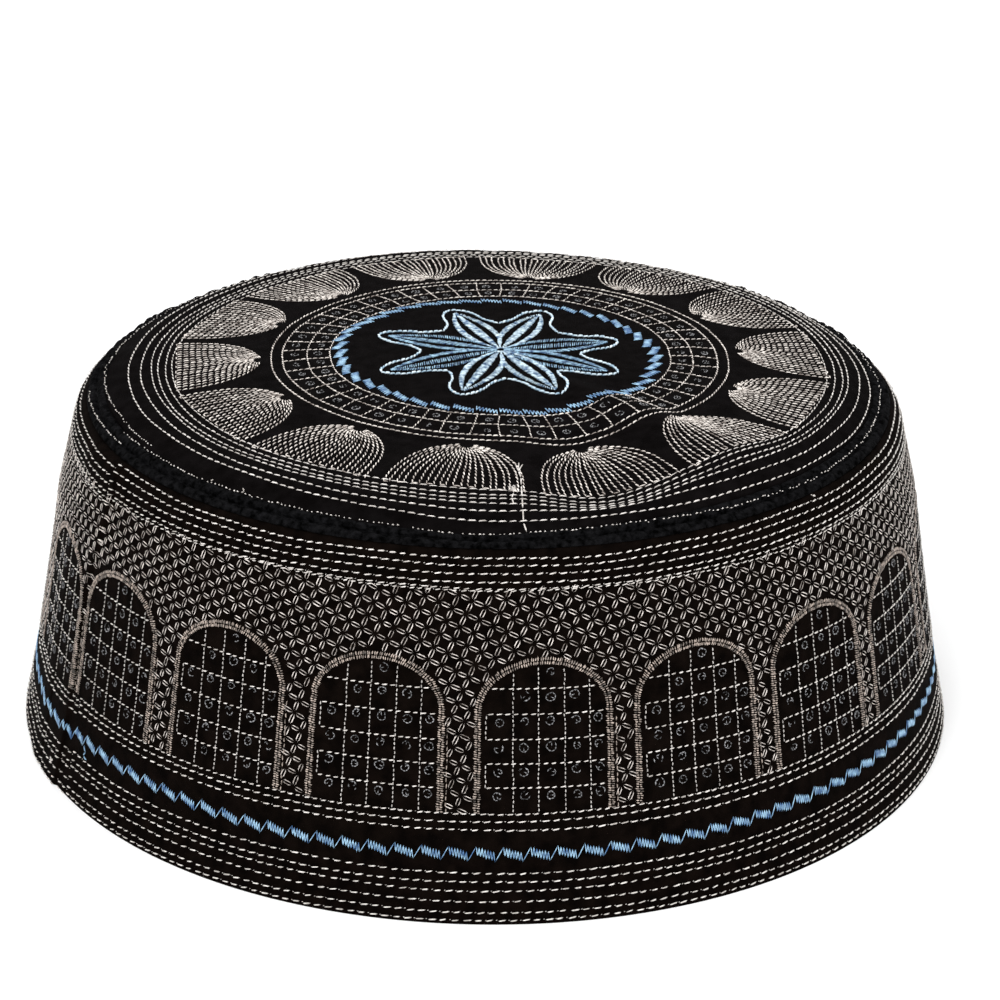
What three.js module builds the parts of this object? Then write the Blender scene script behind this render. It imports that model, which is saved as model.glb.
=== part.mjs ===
// Round embroidered prayer cap, resting on its rim with the crown up.
// Millimetres, +Z up, origin at the centre of the rim's resting plane.
// The photograph's front faces -Y, and its right side is +X.
import * as THREE from 'three';

// Side band: an embroidered strip bent into a ring, leaning in towards the top
const RIM_RADIUS = 95;
const BAND_TOP_RADIUS = 80.2;
const BAND_TOP_HEIGHT = 66.3;
const BAND_WALL = 2.0;

// Seam strip: a narrow black strip over the joint of band and crown.
// It is sewn down along its middle, which draws it into two rows of small gathers.
const STRIP_RUN_IN = 3.7;
const STRIP_RISE = 2.4;
const STRIP_WALL = 1.8;
const GATHER_DEPTH = 0.7;
const GATHER_COUNT = 132;

// Crown panel: a round, slightly domed panel with a turned-down edge
const CROWN_TOP_HEIGHT = 73.9;
const CROWN_WALL = 1.6;

// The pieces stop this far short of each other at the two seams.
// Each seam's cut runs into the wall at this slope below level, in degrees.
const SEAM_GAP = 0.3;
const LOWER_SEAM_SLOPE = 42;
const UPPER_SEAM_SLOPE = 63;

// The band's ends overlap at the left of the front
const LAP_STEP = 0.8;
const LAP_EDGE_ANGLE = -58;
const LAP_CREASE_ANGLE = -66;
const LAP_CREASE_DEPTH = 0.4;
const LAP_FADE_ANGLE = 3;

// The crown is not drawn quite tight: round its edge it sinks a little, in slow waves,
// and its seam goes along by this share
const SAG_DEPTH = 0.35;
const SAG_WAVES = 5;
const SEAM_SAG_SHARE = 0.3;

// Steps round the cap; 4 divides each, so the widest points lie on both axes
const BAND_STEPS = 120;
const STRIP_STEPS = GATHER_COUNT * 2;
const CROWN_STEPS = 96;

const CLOTH_ROUGHNESS = 0.9;

// Band outline from the rim to the lower seam.
// up: share of the band's height; draw_in: share of the way in to its top radius;
// inside: whether the inner face has this point too.
const BAND_SECTIONS = [
  { up: 0.000, draw_in: 0.000, inside: true },
  { up: 0.181, draw_in: 0.178, inside: false },
  { up: 0.377, draw_in: 0.342, inside: true },
  { up: 0.573, draw_in: 0.495, inside: false },
  { up: 0.754, draw_in: 0.629, inside: true },
  { up: 0.870, draw_in: 0.761, inside: false },
  { up: 0.971, draw_in: 0.875, inside: true },
  { up: 1.000, draw_in: 1.000, inside: true },
];

// Strip outline from the lower seam to the upper one.
// in: share of its run inwards; up: share of its rise; gather: share of the gathers' depth;
// follow: how far it goes along with the upper seam; inside: as above.
const STRIP_SECTIONS = [
  { in: 0.00, up: 0.00, gather: 0.0, follow: 0.00, inside: true },
  { in: 0.22, up: 0.24, gather: 1.0, follow: 0.22, inside: false },
  { in: 0.48, up: 0.46, gather: -0.3, follow: 0.50, inside: true },
  { in: 0.74, up: 0.76, gather: 1.0, follow: 0.78, inside: false },
  { in: 1.00, up: 1.00, gather: 0.0, follow: 1.00, inside: true },
];

// Crown outline from the upper seam to the last ring before the centre.
// out: share of the crown's radius; up: share of the rise from its seam to its top;
// sag: share of the sag's depth; inside: as above.
const CROWN_SECTIONS = [
  { out: 1.000, up: 0.000, sag: SEAM_SAG_SHARE, inside: true },
  { out: 0.971, up: 0.220, sag: 0.6, inside: false },
  { out: 0.939, up: 0.480, sag: 0.9, inside: true },
  { out: 0.904, up: 0.520, sag: 1.0, inside: true },
  { out: 0.850, up: 0.575, sag: 0.9, inside: true },
  { out: 0.780, up: 0.640, sag: 0.6, inside: true },
  { out: 0.655, up: 0.747, sag: 0.2, inside: true },
  { out: 0.498, up: 0.854, sag: 0.0, inside: false },
  { out: 0.300, up: 0.947, sag: 0.0, inside: true },
  { out: 0.118, up: 0.992, sag: 0.0, inside: false },
];

// Where the crown's edge is pushed in, sinks or, with a negative depth, stands up.
// angle: its middle; half_width: degrees from there to its end; depth: millimetres down;
// ring: share of the crown's radius where it is deepest; inward, outward: its reach from
// that ring as shares of the same radius. It ends before the lower seam.
const DIPS = [
  { angle: 19, half_width: 15, depth: 2.3, ring: 0.888, inward: 0.600, outward: 0.092 },
  { angle: 41, half_width: 12, depth: -1.9, ring: 0.600, inward: 0.500, outward: 0.420 },
  { angle: 43, half_width: 16, depth: -1.2, ring: 0.881, inward: 0.300, outward: 0.092 },
  { angle: -3, half_width: 38, depth: 1.0, ring: 0.967, inward: 0.184, outward: 0.085 },
  { angle: -1, half_width: 12, depth: 0.7, ring: 0.986, inward: 0.079, outward: 0.066 },
];

// A point at an angle in degrees from the front, growing towards +X
function roundPoint(degrees, radius, height) {
  const angle = THREE.MathUtils.degToRad(degrees);
  return [radius * Math.sin(angle), -radius * Math.cos(angle), height];
}

// A smooth bump of height 1 where it is deepest, falling to 0 at its reach
function bump(away, reach) {
  return away < reach ? 0.5 + 0.5 * Math.cos(Math.PI * away / reach) : 0;
}

function degreesBetween(first, second) {
  return Math.abs(THREE.MathUtils.euclideanModulo(first - second + 180, 360) - 180);
}

// Directions at a seam: `into` runs through the wall, `across` on to the next piece
function seamDirections(slope) {
  const angle = THREE.MathUtils.degToRad(slope);
  return {
    into: { radius: -Math.cos(angle), height: -Math.sin(angle) },
    across: { radius: -Math.sin(angle), height: Math.cos(angle) },
  };
}

const lowerSeam = seamDirections(LOWER_SEAM_SLOPE);
const upperSeam = seamDirections(UPPER_SEAM_SLOPE);
const level = { radius: -1, height: 0 };

function movedPoint(point, direction, distance) {
  return {
    ...point,
    radius: point.radius + distance * direction.radius,
    height: point.height + distance * direction.height,
  };
}

// The direction through the wall at each point of an outline that runs inwards and up
function wallDirections(outline) {
  return outline.map((point, i) => {
    const before = outline[Math.max(i - 1, 0)];
    const after = outline[Math.min(i + 1, outline.length - 1)];
    const run = after.radius - before.radius;
    const rise = after.height - before.height;
    const length = Math.hypot(run, rise);
    return { radius: -rise / length, height: run / length };
  });
}

// The inner face's outline, one wall in from the outer one, from its last point back
function innerOutline(outline, wall, ends) {
  const directions = wallDirections(outline);
  directions[0] = ends.first ?? directions[0];
  directions[outline.length - 1] = ends.last ?? directions[outline.length - 1];
  const inner = outline.map((point, i) => movedPoint(point, directions[i], wall));
  return inner.filter((point) => point.inside).reverse();
}

// Outer outlines, from the named sizes and the tables
function bandOutline() {
  return BAND_SECTIONS.map((row) => ({
    ...row,
    radius: RIM_RADIUS - (RIM_RADIUS - BAND_TOP_RADIUS) * row.draw_in,
    height: BAND_TOP_HEIGHT * row.up,
  }));
}

function stripOutline() {
  const start = movedPoint(bandOutline().at(-1), lowerSeam.across, SEAM_GAP);
  return STRIP_SECTIONS.map((row) => ({
    ...row,
    radius: start.radius - STRIP_RUN_IN * row.in,
    height: start.height + STRIP_RISE * row.up,
    spot: start.radius - STRIP_RUN_IN * row.in,
  }));
}

function crownOutline() {
  const start = movedPoint(stripOutline().at(-1), upperSeam.across, SEAM_GAP);
  return CROWN_SECTIONS.map((row) => ({
    ...row,
    radius: start.radius * row.out,
    height: start.height + (CROWN_TOP_HEIGHT - start.height) * row.up,
    spot: start.radius * row.out,
  }));
}

const crownRadius = crownOutline()[0].radius;

// How far the cloth goes down at a spot, its radius on the outer face: in the dips,
// and in the sag's waves by the share that it has of them
function clothDrop(spot, sagShare, degrees) {
  const share = spot / crownRadius;
  const wave = 0.5 + 0.5 * Math.sin(SAG_WAVES * THREE.MathUtils.degToRad(degrees));
  return DIPS.reduce((drop, dip) => {
    const reach = share < dip.ring ? dip.inward : dip.outward;
    const round = bump(degreesBetween(degrees, dip.angle), dip.half_width);
    return drop + dip.depth * round * bump(Math.abs(share - dip.ring), reach);
  }, SAG_DEPTH * sagShare * wave);
}

// How far the band's outer end stands out: it lies over the other end from the lap's edge
// to a creased line of stitching, and fades out past it
function lapRise(degrees) {
  const reach = LAP_EDGE_ANGLE - LAP_CREASE_ANGLE;
  const past = THREE.MathUtils.euclideanModulo(LAP_EDGE_ANGLE - degrees, 360);
  const over = past <= reach ? 1 : Math.max(0, 1 - (past - reach) / LAP_FADE_ANGLE);
  return LAP_STEP * over
    - LAP_CREASE_DEPTH * bump(degreesBetween(degrees, LAP_CREASE_ANGLE), LAP_FADE_ANGLE);
}

// Pleats of uneven depth: 1 on a pleat's ridge, less in the fold beside it
function gatherWave(degrees) {
  const turn = THREE.MathUtils.degToRad(degrees);
  const pleat = 0.5 + 0.5 * Math.cos(GATHER_COUNT * turn);
  const uneven = 0.8 + 0.2 * Math.sin(SAG_WAVES * turn);
  return pleat * uneven;
}

// Points of one section at every step round the cap, moved by `shape` at each angle
function turnedPoints(section, steps, shape) {
  const positions = [];
  for (let step = 0; step < steps; step += 1) {
    const degrees = 360 * step / steps;
    for (const point of section) {
      const moved = shape(point, degrees);
      positions.push(...roundPoint(degrees, moved.radius, moved.height));
    }
  }
  return positions;
}

// Two triangles for each stretch of the section between two steps
function sideFaces(size, steps, stretches) {
  const faces = [];
  for (let step = 0; step < steps; step += 1) {
    const here = step * size;
    const next = ((step + 1) % steps) * size;
    for (let i = 0; i < stretches; i += 1) {
      const j = (i + 1) % size;
      faces.push(here + i, next + i, next + j, here + i, next + j, here + j);
    }
  }
  return faces;
}

function closedGeometry(positions, faces) {
  const geometry = new THREE.BufferGeometry();
  geometry.setAttribute('position', new THREE.Float32BufferAttribute(positions, 3));
  geometry.setIndex(faces);
  geometry.computeVertexNormals();
  return geometry;
}

// A ring: the section runs up the outer face and back down the inner one
function ringGeometry(section, steps, shape) {
  const positions = turnedPoints(section, steps, shape);
  return closedGeometry(positions, sideFaces(section.length, steps, section.length));
}

// A dish: the section runs out along the under face and back in along the top,
// and a fan of triangles closes each face at the axis
function dishGeometry(section, steps, shape, underHeight, topHeight) {
  const size = section.length;
  const positions = turnedPoints(section, steps, shape);
  positions.push(0, 0, underHeight, 0, 0, topHeight);
  const faces = sideFaces(size, steps, size - 1);
  const under = steps * size;
  const top = under + 1;
  for (let step = 0; step < steps; step += 1) {
    const here = step * size;
    const next = ((step + 1) % steps) * size;
    faces.push(under, next, here);
    faces.push(top, here + size - 1, next + size - 1);
  }
  return closedGeometry(positions, faces);
}

function bandGeometry() {
  const outer = bandOutline().map((point) => ({ ...point, lap: 1 }));
  const inner = innerOutline(bandOutline(), BAND_WALL, { first: level, last: lowerSeam.into });
  const shape = (point, degrees) => ({
    radius: point.radius + (point.lap ? lapRise(degrees) : 0),
    height: point.height,
  });
  return ringGeometry([...outer, ...inner], BAND_STEPS, shape);
}

function stripGeometry() {
  const outer = stripOutline();
  const ends = { first: lowerSeam.into, last: upperSeam.into };
  const inner = innerOutline(outer, STRIP_WALL, ends);
  const outward = wallDirections([outer.at(0), outer.at(-1)])[0];
  const smoothInner = inner.map((point) => ({ ...point, gather: 0 }));
  const shape = (point, degrees) => {
    const lift = GATHER_DEPTH * point.gather * gatherWave(degrees);
    const moved = movedPoint(point, outward, -lift);
    const sag = SEAM_SAG_SHARE * point.follow;
    return {
      radius: moved.radius,
      height: moved.height - clothDrop(point.spot, sag, degrees),
    };
  };
  return ringGeometry([...outer, ...smoothInner], STRIP_STEPS, shape);
}

function crownGeometry() {
  const outer = crownOutline();
  const inner = innerOutline(outer, CROWN_WALL, { first: upperSeam.into });
  const shape = (point, degrees) => ({
    radius: point.radius,
    height: point.height - clothDrop(point.spot, point.sag, degrees),
  });
  const section = [...inner, ...outer];
  return dishGeometry(
    section, CROWN_STEPS, shape, CROWN_TOP_HEIGHT - CROWN_WALL, CROWN_TOP_HEIGHT);
}

function clothPiece(name, geometry, colour) {
  const material = new THREE.MeshStandardMaterial({
    color: colour,
    roughness: CLOTH_ROUGHNESS,
    metalness: 0,
  });
  const mesh = new THREE.Mesh(geometry, material);
  mesh.name = name;
  return mesh;
}

const cap = new THREE.Group();
cap.add(clothPiece('side_band', bandGeometry(), 0x1d1714));
cap.add(clothPiece('seam_strip', stripGeometry(), 0x121216));
cap.add(clothPiece('crown_panel', crownGeometry(), 0x17171c));

export default cap;
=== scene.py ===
"""Round embroidered prayer cap: cloth shells and every stitch on them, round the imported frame.

Pattern sizes are in millimetres and angles in degrees. An angle on the band grows from the
front (-Y) towards +X. Meshes are made in metres.
"""
import math

import bpy
import numpy as np
from mathutils import Matrix, Vector


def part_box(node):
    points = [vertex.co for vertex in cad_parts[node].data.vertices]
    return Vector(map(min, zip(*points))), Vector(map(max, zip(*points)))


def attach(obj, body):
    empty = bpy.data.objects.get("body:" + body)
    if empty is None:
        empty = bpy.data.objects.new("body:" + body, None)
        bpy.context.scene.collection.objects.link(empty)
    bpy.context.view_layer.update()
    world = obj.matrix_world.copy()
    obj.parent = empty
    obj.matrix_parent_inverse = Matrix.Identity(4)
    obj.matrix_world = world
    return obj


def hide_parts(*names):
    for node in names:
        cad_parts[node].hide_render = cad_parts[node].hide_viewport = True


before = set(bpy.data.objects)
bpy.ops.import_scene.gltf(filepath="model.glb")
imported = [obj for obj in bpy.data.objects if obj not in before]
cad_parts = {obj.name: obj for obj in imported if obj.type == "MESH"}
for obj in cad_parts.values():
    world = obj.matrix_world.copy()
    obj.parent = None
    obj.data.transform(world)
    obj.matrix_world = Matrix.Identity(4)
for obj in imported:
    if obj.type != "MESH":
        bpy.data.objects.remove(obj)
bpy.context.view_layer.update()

MM = 0.001
RANDOM = np.random.default_rng(7)

# The camera at the photograph's viewing angle
CAMERA_PLACE = (2.5, -523.1, 267.8)
CAMERA_ELEVATION, CAMERA_ROLL = 23.4, 0.79
CAMERA_LENS, SENSOR_WIDTH = 100.8, 36.0

# Sizes read off the frame
band_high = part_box("side_band")[1]
strip_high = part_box("seam_strip")[1]
crown_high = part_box("crown_panel")[1]
RIM_RADIUS = band_high.x / MM
LOWER_SEAM_RADIUS = strip_high.x / MM
LOWER_SEAM_HEIGHT = band_high.z / MM
UPPER_SEAM_RADIUS = crown_high.x / MM
UPPER_SEAM_HEIGHT = strip_high.z / MM
# The height of the crown's middle; a raised place on its right stands higher
CROWN_TOP = 73.9

BAND_WALL, STRIP_WALL, CROWN_WALL = 2.0, 1.8, 1.6

# Band outline: share of its height, share of the way in to the lower seam
BAND_SECTIONS = [
    (0.0, 0.0), (0.181, 0.178), (0.377, 0.342), (0.573, 0.495),
    (0.754, 0.629), (0.87, 0.761), (0.971, 0.875), (1.0, 1.0),
]
# Crown outline: share of its radius, share of its rise, share of the sag
CROWN_SECTIONS = [
    (1.0, 0.0, 0.3), (0.971, 0.22, 0.6), (0.939, 0.48, 0.9), (0.904, 0.52, 1.0),
    (0.85, 0.575, 0.9), (0.78, 0.64, 0.6), (0.655, 0.747, 0.2), (0.498, 0.854, 0.0),
    (0.3, 0.947, 0.0), (0.118, 0.992, 0.0), (0.0, 1.0, 0.0),
]
# Where the crown's edge is pushed in, sinks or, with a negative depth, stands up: middle
# angle, half width, depth, and its deepest ring and reach either way as shares of the radius
DIPS = [
    (19.0, 15.0, 2.3, 0.888, 0.6, 0.092),
    (41.0, 12.0, -1.9, 0.6, 0.5, 0.42),
    (43.0, 16.0, -1.2, 0.881, 0.3, 0.092),
    (-3.0, 38.0, 1.0, 0.967, 0.184, 0.085),
    (-1.0, 12.0, 0.7, 0.986, 0.079, 0.066),
]
SAG_DEPTH, SAG_WAVES = 0.35, 5
OUTLINE_STEP, OUTLINE_ROUNDING = 0.1, 2.4

# The band's ends overlap along an edge that runs between two windows and then leans:
# arc lengths up the band and the edge's angle at each
LAP_EDGE = ((0.0, 20.0, 42.0, 54.0, 68.0), (-60.6, -60.1, -59.7, -57.6, -56.6))
LAP_STEP, LAP_EDGE_WIDTH = 0.6, 0.3
LAP_CREASE_ANGLE, LAP_CREASE_DEPTH, LAP_CREASE_WIDTH = -66.0, 0.25, 0.5
LAP_FADE_START, LAP_FADE_ANGLE = 8.0, 4.0


def wave(away):
    """A smooth bump: 1 where `away` is 0, falling to 0 where it is 1 and beyond."""
    return 0.5 + 0.5 * np.cos(np.pi * np.minimum(np.abs(away), 1.0))


def turned(degrees, centre):
    """An angle measured from another one, between -180 and 180."""
    return (degrees - centre + 180.0) % 360.0 - 180.0


def joined(*columns):
    """Columns side by side; one number fills a column."""
    return np.stack(np.broadcast_arrays(*columns), -1)


def run_along(line):
    """Distance from a line's first point to each of its points."""
    spans = np.linalg.norm(np.diff(line, axis=0), axis=1)
    return np.concatenate([[0.0], np.cumsum(spans)])


def at_run(wanted, run, line):
    """A line's values at wanted distances along it."""
    return joined(*(np.interp(wanted, run, column) for column in line.T))


def cap_outline():
    """Radius, height and the sag's share at even steps along the outline."""
    rows = [
        (RIM_RADIUS - (RIM_RADIUS - LOWER_SEAM_RADIUS) * draw_in, LOWER_SEAM_HEIGHT * up, 0)
        for up, draw_in in BAND_SECTIONS
    ]
    rise = CROWN_TOP - UPPER_SEAM_HEIGHT
    rows += [
        (UPPER_SEAM_RADIUS * out, UPPER_SEAM_HEIGHT + rise * up, sag)
        for out, up, sag in CROWN_SECTIONS
    ]
    rows = np.array(rows, float)
    run = run_along(rows[:, :2])
    even = np.arange(0.0, run[-1], OUTLINE_STEP)
    table = at_run(even, run, rows)
    # Both ends carry on past themselves, so that rounding leaves them in place
    margin = int(OUTLINE_ROUNDING / OUTLINE_STEP)
    before = 2 * table[0] - table[margin:0:-1]
    after = table[-2:-margin - 2:-1] * [-1, 1, 1]
    window = np.hanning(margin + 2)[1:-1]
    window /= window.sum()
    padded = np.vstack([before, table, after])
    smooth = [np.convolve(padded[:, i], window, "same") for i in range(3)]
    table = np.stack(smooth, axis=1)[margin:-margin]
    return even, table


outline_s, outline_rows = cap_outline()
outline_tangents = np.gradient(outline_rows[:, :2], OUTLINE_STEP, axis=0)
outline_tangents /= np.linalg.norm(outline_tangents, axis=1, keepdims=True)
OUTLINE_END = outline_s[-1]


def at_height(height):
    """The outline's arc length from the rim at a height on the band."""
    return float(np.interp(height, outline_rows[:, 1], outline_s))


BELOW_CROWN = 1.0


def at_radius(radius):
    """The outline's arc length at a radius on the crown."""
    first = int(at_height(UPPER_SEAM_HEIGHT - BELOW_CROWN) / OUTLINE_STEP)
    return np.interp(-np.asarray(radius), -outline_rows[first:, 0], outline_s[first:])


# Where the pieces' outer faces meet, a little past the edges of their boxes
LOWER_SEAM = at_height(LOWER_SEAM_HEIGHT) + 0.45
UPPER_SEAM = float(at_radius(UPPER_SEAM_RADIUS)) - 0.1


def lap_edge(s):
    """The angle of the lap's edge at an arc length on the band."""
    return np.interp(s, *LAP_EDGE)


def lap_rise(degrees, s):
    """How far the band's outer end stands out over its inner end."""
    past = (lap_edge(s) - degrees) % 360.0
    step_up = np.clip(past / LAP_EDGE_WIDTH, 0.0, 1.0)
    fade = np.clip(1.0 - (past - LAP_FADE_START) / LAP_FADE_ANGLE, 0.0, 1.0)
    crease = LAP_CREASE_DEPTH * wave(turned(degrees, LAP_CREASE_ANGLE) / LAP_CREASE_WIDTH)
    return (LAP_STEP * step_up * fade - crease) * (s < LOWER_SEAM)


def cloth_drop(degrees, radius, sag):
    """How far the crown's cloth goes down, in its dips and in the slow waves of its edge."""
    share = radius / UPPER_SEAM_RADIUS
    drop = SAG_DEPTH * sag * (0.5 + 0.5 * np.sin(SAG_WAVES * np.radians(degrees)))
    for angle, half_width, depth, dip_ring, inward, outward in DIPS:
        reach = np.where(share < dip_ring, inward, outward)
        round_it = wave(turned(degrees, angle) / half_width)
        drop = drop + depth * round_it * wave((share - dip_ring) / reach)
    return drop


def on_cap(degrees, s, lift):
    """Points on the outer face raised by `lift`, in millimetres, none below the rim's plane."""
    degrees, s, lift = np.broadcast_arrays(degrees, s, lift)
    radius, height, sag = (np.interp(s, outline_s, outline_rows[:, i]) for i in range(3))
    run, rise = (np.interp(s, outline_s, outline_tangents[:, i]) for i in (0, 1))
    turn = np.radians(degrees)
    off = lift + lap_rise(degrees, s)
    height = np.maximum(height - cloth_drop(degrees, radius, sag) - run * off, 0.0)
    radius = radius + rise * off
    return joined(radius * np.sin(turn), -radius * np.cos(turn), height)


def outline_radius(s):
    return np.interp(s, outline_s, outline_rows[:, 0])


def degrees_of(length, s):
    """The angle that a length round the band takes up at an arc length."""
    return np.degrees(length / outline_radius(s))


# Meshes

def in_scene(name, data):
    made = bpy.data.objects.new(name, data)
    bpy.context.scene.collection.objects.link(made)
    return made


def mesh_piece(name, points, loops, totals, material):
    """A mesh object from points in millimetres and polygons given as one flat index list."""
    mesh = bpy.data.meshes.new(name)
    mesh.vertices.add(len(points))
    mesh.vertices.foreach_set("co", (points * MM).astype(np.float32).ravel())
    mesh.loops.add(len(loops))
    mesh.loops.foreach_set("vertex_index", np.asarray(loops, np.int32))
    mesh.polygons.add(len(totals))
    starts = np.cumsum(totals) - totals
    mesh.polygons.foreach_set("loop_start", starts.astype(np.int32))
    mesh.update(calc_edges=True)
    mesh.validate()
    mesh.shade_smooth()
    mesh.materials.append(material)
    piece = in_scene(name, mesh)
    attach(piece, "root")
    return piece


def grid_quads(columns, rows, closed_rows):
    """Quads of a grid that is closed round its columns and, if asked, round its rows."""
    row = np.arange(rows if closed_rows else rows - 1)
    after = (row + 1) % rows
    here = rows * np.arange(columns)[:, None]
    there = np.roll(here, -1, axis=0)
    return joined(here + row, there + row, there + after, here + after).reshape(-1, 4)


def ring_shell(name, angles, outer_s, inner_s, wall, relief, material):
    """A cloth ring: its outer face carries `relief`, its inner face lies one wall in."""
    angle = angles[:, None]
    outer = on_cap(angle, outer_s[None, :], relief(angle, outer_s[None, :]))
    plain = lap_rise(angle, inner_s[None, ::-1])
    inner = on_cap(angle, inner_s[None, ::-1], -wall - plain)
    points = np.concatenate([outer, inner], axis=1)
    quads = grid_quads(len(angles), points.shape[1], True)
    totals = np.full(len(quads), 4)
    return mesh_piece(name, points.reshape(-1, 3), quads.ravel(), totals, material)


def dish_shell(name, angles, outer_s, inner_s, wall, relief, material):
    """The crown: one dish whose outer and inner faces each close on a point at the axis."""
    angle = angles[:, None]
    outer = on_cap(angle, outer_s[None, :], relief(angle, outer_s[None, :]))
    inner = on_cap(angle, inner_s[None, ::-1], -wall)
    points = np.concatenate([inner, outer], axis=1)
    count, rows = points.shape[:2]
    quads = grid_quads(count, rows, False)
    under = on_cap(0.0, OUTLINE_END, -wall) * [0, 0, 1]
    top = on_cap(0.0, OUTLINE_END, 0.0) * [0, 0, 1]
    points = np.vstack([points.reshape(-1, 3), under, top])
    first = np.arange(count) * rows
    following = np.roll(first, -1)
    under_fan = joined(count * rows, following, first)
    top_fan = joined(count * rows + 1, first + rows - 1, following + rows - 1)
    loops = np.concatenate([quads.ravel(), under_fan.ravel(), top_fan.ravel()])
    totals = np.concatenate([np.full(len(quads), 4), np.full(2 * count, 3)])
    return mesh_piece(name, points, loops, totals, material)


# Stitch forms, from one pointed end to the other: share along the stitch, share of its
# width, height in widths, share of its sideways bow
ARCHED = np.array([(0.0, 0, 0.0, 0), (0.2, 0.9, 0.42, 0), (0.78, 1.0, 0.46, 0), (1.0, 0, 0.0, 0)])
SLIM = np.array([(0.0, 0, -0.1, 0), (0.26, 1.0, 0.42, 1), (0.74, 1.0, 0.42, 1), (1.0, 0, -0.1, 0)])
SPECK = np.array([(0.0, 0, 0.0, 0), (0.5, 1.0, 0.35, 1), (1.0, 0, 0.0, 0)])
BLUNT = np.array(
    [(-0.04, 0, 0.1, 0), (0.10, 0.9, 0.40, 1), (0.90, 0.9, 0.40, 1), (1.04, 0, 0.1, 0)])
THREAD_SIDES, THREAD_FLATNESS = 4, 0.8


class Skein:
    """All stitches of one piece of thread work, made into one mesh."""

    def __init__(self, name, material, slot):
        self.name, self.material, self.slot = name, material, slot
        self.points, self.loops, self.totals = [], [], []
        self.count = 0

    def add(self, starts, ends, place, width, form=SLIM, bow=0.0):
        """Stitches between two lists of surface positions; `place` maps them to the cap."""
        starts, ends = np.asarray(starts, float), np.asarray(ends, float)
        total, rings = len(starts), len(form) - 2
        width = np.broadcast_to(width, total)
        along = starts[:, None] + (ends - starts)[:, None] * form[None, :, :1]
        centres = place(along[..., 0], along[..., 1], form[None, :, 2] * width[:, None])
        middle = (starts + ends) / 2
        foot = place(middle[:, 0], middle[:, 1], 0.0)
        up = place(middle[:, 0], middle[:, 1], 1.0) - foot
        axis = unit(centres[:, -1] - centres[:, 0])
        across = unit(np.cross(axis, up))
        up = np.cross(across, axis)
        centres = centres + bow * form[None, :, 3:] * across[:, None]
        turn = 2 * np.pi * (np.arange(THREAD_SIDES) + 0.5) / THREAD_SIDES
        ring = (np.cos(turn)[None, :, None] * across[:, None]
                + THREAD_FLATNESS * np.sin(turn)[None, :, None] * up[:, None])
        girth = form[None, 1:-1, 1] * width[:, None] / 2
        body = centres[:, 1:-1, None] + girth[..., None, None] * ring[:, None]
        tips = centres[:, [0, -1]]
        body = body.reshape(total, rings * THREAD_SIDES, 3)
        points = np.concatenate([body, tips], axis=1)
        loops, totals = stitch_faces(rings)
        size = points.shape[1]
        offsets = self.count + size * np.arange(total)
        self.points.append(points.reshape(-1, 3))
        self.loops.append((offsets[:, None] + loops[None]).ravel())
        self.totals.append(np.tile(totals, total))
        self.count += size * total

    def run(self, positions, place, width, form=SLIM):
        """Stitches from each position to the next."""
        positions = np.asarray(positions, float)
        self.add(positions[:-1], positions[1:], place, width, form)

    def make(self):
        """The piece, with nothing below the plane that the cap stands on."""
        points = np.vstack(self.points)
        points[:, 2] = np.maximum(points[:, 2], 0.0)
        mesh_piece(
            self.name, points, np.concatenate(self.loops),
            np.concatenate(self.totals), self.material)


def unit(vectors):
    return vectors / np.maximum(np.linalg.norm(vectors, axis=-1, keepdims=True), 1e-9)


def stitch_faces(rings):
    """Side quads between a stitch's rings, and fans that close it on its two tips."""
    quads, fans, sides = [], [], THREAD_SIDES
    first_tip, last_tip = rings * sides, rings * sides + 1
    last = (rings - 1) * sides
    for side in range(sides):
        after = (side + 1) % sides
        for low in range(0, last, sides):
            quads += [low + side, low + sides + side, low + sides + after, low + after]
        fans += [first_tip, side, after, last_tip, last + after, last + side]
    totals = [4] * (len(quads) // 4) + [3] * (len(fans) // 3)
    return np.array(quads + fans), np.array(totals)


def along_line(line, pitch, fill):
    """Even stitches along a polyline of positions measured in millimetres."""
    run = run_along(line)
    count = max(1, int(round(run[-1] / pitch)))
    step = run[-1] / count
    centre = (np.arange(count) + 0.5) * step
    ends = [np.clip(centre + sign * fill * step / 2, 0, run[-1]) for sign in (-1, 1)]
    return [at_run(end, run, line) for end in ends]


ROPE_LAY, ROPE_OVERLAP = 0.12, 1.06
ROPE_WIDTH_SPREAD, ROPE_SCATTER = 0.22, 0.05


def twisted(skein, line, pitch, width, lay=ROPE_LAY, fill=ROPE_OVERLAP):
    """A thread chain: stitches that overlap and cross from one side of the line to the other."""
    starts, ends = along_line(line, pitch, fill)
    ahead = unit(ends - starts)
    side = lay * joined(-ahead[:, 1], ahead[:, 0])
    widths = uneven(width, len(starts), ROPE_WIDTH_SPREAD)
    starts, ends = scattered(starts - side, ROPE_SCATTER), scattered(ends + side, ROPE_SCATTER)
    skein.add(starts, ends, on_pattern, widths)


def polar(degrees, radius):
    """Plan positions round a centre; angles as on the band."""
    turn = np.radians(degrees)
    return joined(radius * np.sin(turn), -radius * np.cos(turn))


def axes_at(degrees):
    """Outward and sideways directions at an angle, as rows."""
    return polar(np.array([degrees, degrees + 90.0]), 1.0)


def jitter(size, spread):
    return RANDOM.uniform(-spread, spread, size)


def chance(size, share):
    return RANDOM.uniform(0.0, 1.0, size) < share


def scattered(places, spread):
    """The same positions, each moved a little."""
    return places + jitter(np.shape(places), spread)


def uneven(width, count, spread):
    """Widths that differ from stitch to stitch by up to a share of the width."""
    return width * (1 + jitter(count, spread))


# Band pattern

def wander(degrees, seed, size):
    """A slow unevenness of hand-guided stitching."""
    turn = np.radians(degrees)
    return size * (
        0.5 * np.sin(3 * turn + seed) + 0.3 * np.sin(8 * turn + 2.1 * seed)
        + 0.2 * np.sin(19 * turn + 3.7 * seed))


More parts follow.
